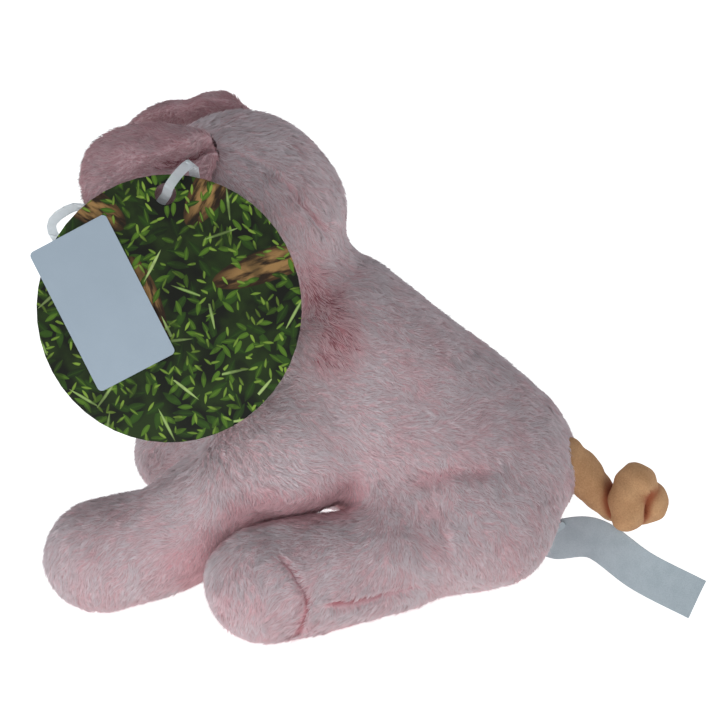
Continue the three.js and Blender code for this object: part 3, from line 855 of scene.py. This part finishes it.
for order, (name, form) in enumerate(plush.items()):
    is_ear = name.startswith("ear")
    draw = np.random.default_rng(100 + order)
    place, out = scattered(form["piece"], pile_per_square, draw)
    near = place + (strand_buried - relief(place))[:, None] * out
    shown = ~((out[:, 2] < -0.9) & (place[:, 2] < 1))
    for other, other_form in plush.items():
        if other != name and other_form["depth"] is not None:
            shown &= other_form["depth"](near) > skin_margin
    if name == "head":
        shown &= (near - snout_seat) @ snout_axis < -snout_margin
    place, out = place[shown], out[shown]
    nap, dark = parted(place, np.array(naps[name](place)))
    # Painted shade: the pile is pinker and darker where the forms close in, and on an ear near its root.
    # Each ear is also made pinker throughout by an even share.
    if is_ear:
        root = whole_head_depth(place) / ear_root_reach
        closed = ear_root_shade * np.exp(-(root**2)) + ear_pinkening
    else:
        closed = hollow(place, out) * (head_hollow_shade if name == "head" else 1)
    tone = tone_plain + tone_ripple * (ripple(place, 24, 8) + ripple(place, 8, 18))
    # Painted light: pile that faces up is greyer, as if lit by the sky.
    tone += tone_sky_light * out[:, 2] - tone_hollow_shade * closed
    tone += tone_lock * (drawn_fraction(np.floor(place / lock_cell), 4) - 0.5)
    tone += draw.normal(0, tone_spread, len(place))
    tone = np.maximum(tone, ear_tone_least if is_ear else tone_least)
    # Painted shade: strands near a crease or seam are darkened towards deep pink.
    tone = np.clip(tone - tone_crease_shade * dark, 0.03, 0.97)
    kept = (dark < thin_from) | (draw.random(len(place)) < thin_share)
    place, out, nap, tone = place[kept], out[kept], nap[kept], tone[kept]
    points, shading = strands(place, out, nap, draw, ear_strand_size if is_ear else 1.0)
    finish = ear_pile if is_ear else body_pile
    for part, start in enumerate(range(0, len(points), pile_piece_strands)):
        some = slice(start, start + pile_piece_strands)
        fur = pile_piece(f"{name}_pile_{part + 1}", points[some], shading[some], tone[some], finish)
        if name in legs:
            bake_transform(fur)
        elif name == "head":
            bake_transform(fur)
        else:
            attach(fur, name)

# Snout: a stuffed disc of suede at the end of the muzzle, with two dimples for nostrils
# that are pulled in by stitches and are painted reddish brown within, as painted shade.
snout_radius, snout_depth, snout_crown, snout_roundness, snout_sunk = 12.5, 8.2, 1.8, 0.32, 1.2
nostril_side, nostril_up, nostril_wide, nostril_tall, nostril_depth = 4.2, 0.6, 1.7, 2.5, 1.5
nostril_shade, face_from, snout_fill, snout_rows, snout_sides = 1.2, 0.8, 0.9, 90, 120
snout_across = np.array([1, 0, 0])
snout_up = np.cross(snout_axis, snout_across)


def snout_place(side, up, reach):
    """Places counted from the snout's seat: to its side, up and ahead of it."""
    side, up, reach = side[..., None], up[..., None], reach[..., None]
    return snout_seat + side * snout_across + up * snout_up + reach * snout_axis


def nostril_share(side, up):
    """How far into a nostril a place is: 1 at its middle and near 0 past its rim."""
    side, up = (np.abs(side) - nostril_side) / nostril_wide, (up - nostril_up) / nostril_tall
    return np.exp(-1.3 * (side**2 + up**2))


def snout_rings():
    """A disc whose edge is rounded by powers of sine and cosine, crowned at its face."""
    share = np.linspace(0, np.pi, snout_rows)[:, None]
    turn = np.linspace(0, 2 * np.pi, snout_sides, endpoint=False)
    radius = snout_radius * np.sin(share) ** snout_roundness
    reach = snout_depth / 2 * (1 - np.sign(np.cos(share)) * np.abs(np.cos(share)) ** snout_roundness)
    side, up = radius * np.cos(turn), radius * np.sin(turn)
    face = (reach > snout_depth * face_from) * 1.0
    reach = reach - snout_sunk + face * snout_crown * (1 - (radius / snout_radius) ** 2)
    reach = reach - face * nostril_depth * nostril_share(side, up)
    return snout_place(side, up, reach)


def suede_finish(name):
    """Short-napped peach suede, painted reddish brown as painted shade in a fold or a nostril."""
    suede = Finish(name, Roughness=0.9)
    place = suede.place()
    shade = suede.noise(place, 6, 3.0) * 0.55 + suede.noise(place, 0.45) * 0.45
    plain = suede.mix(shade.between(0.3, 0.7), colour(170, 127, 88), colour(196, 153, 112))
    suede.set("Base Color", suede.mix(suede.painted_shade().between(0.1, 0.95), plain, colour(146, 78, 46)))
    suede.bump(suede.noise(place, 0.4, 3.0), 0.25)
    return suede


snout_points = snout_rings()
snout = closed_piece("snout_disc", snout_points, suede_finish("suede"))
snout_side, snout_high = ((snout_points - snout_seat) @ way for way in (snout_across, snout_up))
snout_front = (snout_points - snout_seat) @ snout_axis > snout_depth / 2
# Painted shade in the nostrils' dimples.
store_painted_shade(snout, nostril_shade * nostril_share(snout_side, snout_high) * snout_front)
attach(snout, "head")
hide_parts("snout")

# Tail: a lightly stuffed tube of the same suede, thick where it leaves the rump. It dips
# and curls once beside itself, and painted shade darkens it where it folds against itself.
tail_stations = [
    (0, 28, 36.5, 6.4),
    (-0.9, 32.3, 32.8, 5.9),
    (-2.3, 36.2, 28, 5.1),
    (-3.4, 40.6, 23.6, 4.7),
    (-2.8, 46.2, 21.9, 4.7),
    (-1.2, 52, 24.2, 4.8),
    (-0.4, 49.8, 28.2, 4.4),
    (1, 47.4, 31.6, 5.3),
    (3, 45.3, 27.4, 5.0),
    (4, 45.2, 22.8, 4.5),
]
tail_steps, tail_sides, cap_rows, fold_apart, fold_stride, fold_reach = 160, 56, 12, 26, 4, 2.2
tail_lump_height, tail_lump_size, tail_lump_seed, tail_fill = 0.25, 6, 41, 0.7


def tube_rings(line, across, sides):
    """Rings round a line of places and radii, closed by round ends."""
    along = unit(np.gradient(line[:, :3], axis=0))
    side = [unit(across - along[0] * (along[0] @ across))]
    for way in along[1:]:
        side.append(unit(side[-1] - way * (way @ side[-1])))
    side = np.array(side)
    up = np.cross(along, side)
    lean = np.linspace(np.pi / 2, 0, cap_rows, endpoint=False)
    row = np.clip(np.arange(len(line) + 2 * cap_rows) - cap_rows, 0, len(line) - 1)
    size = np.concatenate([np.cos(lean), np.ones(len(line)), np.cos(lean)[::-1]])
    reach = np.concatenate([-np.sin(lean), np.zeros(len(line)), np.sin(lean)[::-1]])
    radius = line[row, 3]
    turn = np.linspace(0, 2 * np.pi, sides, endpoint=False)[None, :, None]
    square = side[row][:, None] * np.cos(turn) + up[row][:, None] * np.sin(turn)
    middle = line[row, :3] + (reach * radius)[:, None] * along[row]
    return middle[:, None] + square * (size * radius)[:, None, None]


tail_line = spline(tail_stations, tail_steps)
tail_rings = tube_rings(tail_line, np.array([1.0, 0, 0]), tail_sides)
tail_middle = tail_rings.mean(1, keepdims=True)
tail_lumps = tail_lump_height * ripple(tail_rings, tail_lump_size, tail_lump_seed)
tail_rings = tail_rings + tail_lumps[..., None] * unit(tail_rings - tail_middle)
tail = closed_piece("tail_tube", tail_rings, suede_finish("tail_suede"))
# Painted shade where the tube lies close to another stretch of itself.
tail_fold_shade = np.zeros(tail_rings.shape[:2])
for row, ring in enumerate(tail_rings):
    station = row - cap_rows
    for part in (tail_line[:max(station - fold_apart, 0)], tail_line[station + fold_apart:]):
        stride = fold_stride if len(part) > fold_stride else 1
        apart = np.maximum(depth_round(part[::stride], ring), 0)
        tail_fold_shade[row] = np.maximum(tail_fold_shade[row], np.exp(-((apart / fold_reach) ** 2)))
store_painted_shade(tail, tail_fold_shade)
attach(tail, "tail")
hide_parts("tail")

# Eyes: two glossy moulded beads, nearly black, whose shanks go through the cloth.
eye_side, eye_up = math.radians(26), math.radians(20)
eye_seat, eye_radius, eye_rise, eye_back, eye_roundness = 26.4, 3.4, 2.7, 0.8, 0.85
eye_rows, eye_row_sides = 48, 64
bead = Finish("eye_bead", Base_Color=colour(30, 22, 18), Roughness=0.1, Specular_IOR_Level=0.3)
for side_name, side in sides.items():
    axis = direction(eye_side, eye_up) * side
    seat = skull + axis * eye_seat
    across = unit(np.cross(axis, (0, 0, 1.0)))
    above = np.cross(across, axis)
    share = np.linspace(0, np.pi, eye_rows)[:, None]
    turn = np.linspace(0, 2 * np.pi, eye_row_sides, endpoint=False)
    radius = eye_radius * np.sin(share) ** eye_roundness
    reach = -np.cos(share) * np.where(share < np.pi / 2, eye_back, eye_rise) + 0 * turn
    aside, high = radius * np.cos(turn), radius * np.sin(turn)
    rings = seat + aside[..., None] * across + high[..., None] * above + reach[..., None] * axis
    eye = closed_piece(f"eye_{side_name}_bead", rings, bead)
    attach(eye, "head")
    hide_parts(f"eye_{side_name}")

# Care label: a woven satin strip, folded double, whose ends are caught in the rear seam.
# It bows up out of the seam and lies out to the left. It is bare.
label_width, label_cloth, label_gap, label_caught, label_tilt = 11.2, 0.16, 0.18, 2.5, math.radians(-36)
label_steps, bend_steps = 90, 8
label_root, label_end = np.array([0, 26.3, 12.9]), np.array([17.6, 64, 5.1])
label_route = [
    label_root - label_caught * np.array([0, math.cos(label_tilt), math.sin(label_tilt)]),
    label_root,
    label_root + 0.28 * (label_end - label_root) + (-2.1, 0, 4.2),
    label_root + 0.62 * (label_end - label_root) + (0, 0, 1.4),
    label_end,
]
label_across = [
    (0, -0.588, -0.809), (0, -0.588, -0.809), (0.12, -0.54, -0.8),
    (0.3, -0.48, -0.79), (0.5, -0.4, -0.76),
]


def strip_rings(middle, across, width, thickness, sides=28, squareness=0.25):
    """Rings of a flat strip along a line of places, whose corners are rounded by a power,
    and a point at each end."""
    along = unit(np.gradient(middle, axis=0))
    across = unit(across - along * (across * along).sum(1, keepdims=True))
    up = np.cross(along, across)
    turn = (np.linspace(0, 2 * np.pi, sides, endpoint=False) + np.pi / sides)[:, None]
    wide, tall = (np.sign(wave) * np.abs(wave) ** squareness for wave in (np.cos(turn), np.sin(turn)))
    rings = middle[:, None] + across[:, None] * wide * width / 2 + up[:, None] * tall * thickness / 2
    return np.concatenate([0 * rings[:1] + middle[0], rings, 0 * rings[:1] + middle[-1]])


label_line, label_turn = spline(label_route, label_steps), spline(label_across, label_steps)
label_normal = unit(np.cross(unit(np.gradient(label_line, axis=0)), label_turn))
there = label_line + label_gap * label_normal
back = (label_line - label_gap * label_normal)[::-1]
bend = np.linspace(0, np.pi, bend_steps + 1)[1:-1, None]
end_way = unit(label_line[-1] - label_line[-2])
round_end = label_line[-1] + label_gap * (np.cos(bend) * label_normal[-1] + np.sin(bend) * end_way)
label_middle = np.concatenate([there, round_end, back])
label_sides = np.concatenate([label_turn, np.repeat(label_turn[-1:], len(round_end), 0), label_turn[::-1]])
satin = Finish("label_satin", Roughness=0.55, Sheen_Weight=0.2)
satin_place = satin.place()
satin_shade = satin.noise(satin_place, 4) * 0.5 + satin.noise(satin_place, 0.35, 1.0) * 0.5
satin_tones = colour(163, 177, 186), colour(178, 191, 199)
satin.set("Base Color", satin.mix(satin_shade.between(0.3, 0.7), *satin_tones))
satin.bump(satin.noise(satin_place, 0.3), 0.08)
label = closed_piece("label_strip", strip_rings(label_middle, label_sides, label_width, label_cloth), satin)
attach(label, "care_label")
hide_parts("care_label")

# Tag: a round card, printed with logs and leaves of many sizes over a dark ground. It leans
# outward from its hole. Each layer of leaves is drawn from scattered places: a leaf is wide
# at its middle, pointed at both ends and paler along its midrib.
tag_lean = math.radians(19)
card_across, card_up = (0, 1, 0), (-math.sin(tag_lean), 0, math.cos(tag_lean))
leaf_edge, rib_from, rib_to, rib_share, leaf_drawn_tone, bark_stretch = 0.12, 0.03, 0.16, 0.45, 0.75, 0.22
card = Finish("card_print", Roughness=0.5, Specular_IOR_Level=0.15)


def reach_along(way):
    """How far places on the card lie along a direction, in millimetres."""
    settings = {"operation": "DOT_PRODUCT"}
    return card.add("ShaderNodeVectorMath", settings, {0: card_place, 1: way}).value("Value") / mm


card_place = card.place()
card_side, card_height = reach_along(card_across), reach_along(card_up)


def leaves(base, size, long, wide, shift, low, high, few=1.0):
    """Adds a layer of leaves to a colour: their size in mm, length and width as shares of
    it, how far the layer is shifted from the others, the leaves' colours from low to high
    and the share of places that have one."""
    side, height = card_side + shift, card_height - shift
    flat = card.add("ShaderNodeCombineXYZ", {}, [side, height, 0.0]).value(0)
    settings = {"voronoi_dimensions": "2D"}
    cells = card.add("ShaderNodeTexVoronoi", settings, {"Vector": flat, "Scale": 1 / size})
    middle_side, middle_up, _ = card.parts(cells.value("Position"))
    turn, shade, luck = card.parts(cells.value("Color"))
    right, up = side - middle_side, height - middle_up
    angle = turn * math.tau
    cosine, sine = angle.math("COSINE"), angle.math("SINE")
    along, across = right * cosine + up * sine, up * cosine - right * sine
    edge = (1.0 - (along / (long * size)) ** 2.0) * (wide * size) - across.math("ABSOLUTE")
    mask = edge.between(0, leaf_edge) * luck.math("LESS_THAN", few)
    rib = 1.0 - across.math("ABSOLUTE").between(rib_from, rib_to)
    lit = shade * leaf_drawn_tone + edge.between(0, wide * size) * (1 - leaf_drawn_tone)
    leaf = card.mix(lit, low, high)
    leaf = card.mix(rib * rib_share, leaf, high)
    return card.mix(mask, base, leaf)


def log(base, side, up, wide, tall, turn, size):
    """Adds a brown log with dark grain to a colour: an oval at a place, turned in degrees."""
    right, high = card_side - side, card_height - up
    cosine, sine = math.cos(math.radians(turn)), math.sin(math.radians(turn))
    along, across = right * cosine + high * sine, high * cosine - right * sine
    inside = 1.0 - (along / wide) ** 2.0 - (across / tall) ** 2.0
    flat = card.add("ShaderNodeCombineXYZ", {}, [along * bark_stretch, across, 0.0]).value(0)
    grain = card.add("ShaderNodeTexNoise", {}, {"Vector": flat, "Scale": 1 / size, "Detail": 4.0}).value(0)
    lit = card.mix(inside.between(0, 0.9), colour(66, 46, 26), colour(150, 116, 72))
    streaked = card.mix(grain.between(0.38, 0.56), colour(38, 25, 14), lit)
    return card.mix(inside.between(0, 0.06), base, streaked)


logs = [
    (-60, 104, 13, 4.5, 60, 1.6),
    (-46, 84, 15, 4, 20, 1.8),
    (-76, 73, 13, 4, 110, 1.5),
    (-92, 98, 12, 4.5, 150, 1.5),
]
upper_leaves = [
    (3.4, 0.62, 0.2, 47, colour(24, 46, 10), colour(86, 122, 36), 0.62),
    (2.4, 0.62, 0.17, 71, colour(46, 76, 18), colour(130, 160, 62), 0.42),
    (7, 0.7, 0.06, 90, colour(80, 116, 44), colour(168, 190, 120), 0.3),
]
clumps = card.noise(card_place, 9).between(0.38, 0.62)
print_colour = card.mix(clumps, colour(6, 10, 3), colour(30, 46, 14))
print_colour = leaves(print_colour, 5, 0.6, 0.2, 11, colour(16, 30, 8), colour(46, 76, 20))
for sizes in logs:
    print_colour = log(print_colour, *sizes)
for layer in upper_leaves:
    print_colour = leaves(print_colour, *layer)
shadows = card.noise(card_place, 6, 3.0).between(0.36, 0.52)
print_colour = card.mix(shadows, card.mix(0.55, print_colour, colour(8, 12, 4)), print_colour)
card.set("Base Color", print_colour)


def refinished(node, finish):
    """Gives a CAD node's mesh a finish in place of its plain colour."""
    slots = bpy.data.objects[node].data.materials
    for place in range(len(slots)):
        slots[place] = finish.material


refinished("card_tag", card)

# Sticker: bare pale paper, glued over the edge of the card.
paper = Finish("sticker_paper", Roughness=0.6)
paper_place = paper.place()
paper_tones = colour(146, 161, 175), colour(154, 169, 183)
paper.set("Base Color", paper.mix(paper.noise(paper_place, 8, 3.0), *paper_tones))
paper.bump(paper.noise(paper_place, 0.6, 3.0), 0.02)
refinished("sticker", paper)

# Loop: a flat strap of milky plastic through the card's hole and round the ear's root.
milk = colour(222, 228, 232)
milky = Finish("loop_plastic", Base_Color=milk, Roughness=0.3, Transmission_Weight=0.6, IOR=1.2)
refinished("tag_loop", milky)

# Washers: two rings of matte plastic that lock the eyes inside the head.
washer = Finish("washer_plastic", Base_Color=colour(225, 222, 214), Roughness=0.5)
for side_name in sides:
    refinished(f"eye_washer_{side_name}", washer)

# Floor and light: a plain pale floor that glows a little, in a white surround, with two
# broad soft suns, from the left and from the front, and a small lamp close to the left paws.
floor_reach, lamp_target = 4000, np.array([45, -60, 15])


def seen_white(graph):
    """1 for the rays that end at the eye: from the camera, off a gloss or through a clear
    thing. 0 for the rays that only carry light."""
    path = graph.add("ShaderNodeLightPath", {}, {})
    rays = path.value("Is Camera Ray") + path.value("Is Glossy Ray") + path.value("Is Transmission Ray")
    return rays.math("MINIMUM", 1.0)


floor_corners = [(floor_reach * x, floor_reach * y, 0) for x, y in ((-1, -1), (1, -1), (1, 1), (-1, 1))]
floor = mesh_piece("floor", floor_corners, [[0, 1, 2, 3]], [])
glow = Finish("floor", Roughness=0.95, Base_Color=colour(245, 245, 245), Emission_Strength=1.0)
glow.set("Emission Color", glow.mix(seen_white(glow), colour(206, 203, 199), colour(224, 224, 224)))
floor.data.materials.append(glow.material)


def add_lamp(name, kind, azimuth, elevation, energy, reach=0, **sizes):
    """A soft lamp in a direction, given in degrees, and at a reach from the paws."""
    light = bpy.data.lights.new(name, kind)
    light.energy = energy
    for field, size in sizes.items():
        setattr(light, field, size)
    lamp = bpy.data.objects.new(name, light)
    lamp.visible_camera = False
    bpy.context.scene.collection.objects.link(lamp)
    aim = direction(math.radians(azimuth), math.radians(elevation))
    side = unit(np.cross((0, 0, 1.0), aim))
    rows = np.stack([side, np.cross(aim, side), aim], 1)
    places = mm * (lamp_target + reach * aim)
    lamp.matrix_world = Matrix([[*row, place] for row, place in zip(rows, places)] + [[0, 0, 0, 1]])


add_lamp("sun", "SUN", 62, 12, 0.3, angle=math.radians(70))
add_lamp("fill", "SUN", 8, 3, 0.12, angle=math.radians(90))
add_lamp("panel", "AREA", 80, 10, 0.06, reach=150, size=0.1)

world = bpy.data.worlds.new("surround")
bpy.context.scene.world = world
sky = Graph(world)
sky_height = sky.parts(sky.add("ShaderNodeTexCoord", {}, {}).value("Generated"))[2]
sky_strength = sky.add("ShaderNodeMapRange", {}, [sky_height, 0.0, 0.9, 0.92, 0.34]).value(0)
ambient = sky.add("ShaderNodeBackground", {}, [(0.95, 0.98, 1, 1), sky_strength])
white = sky.add("ShaderNodeBackground", {}, [(1, 1, 1, 1), 1.0])
surround = sky.add("ShaderNodeMixShader", {}, [seen_white(sky), ambient.value(0), white.value(0)])
sky.add("ShaderNodeOutputWorld", {}, {"Surface": surround.value(0)})
bpy.context.scene.view_settings.view_transform = "Standard"
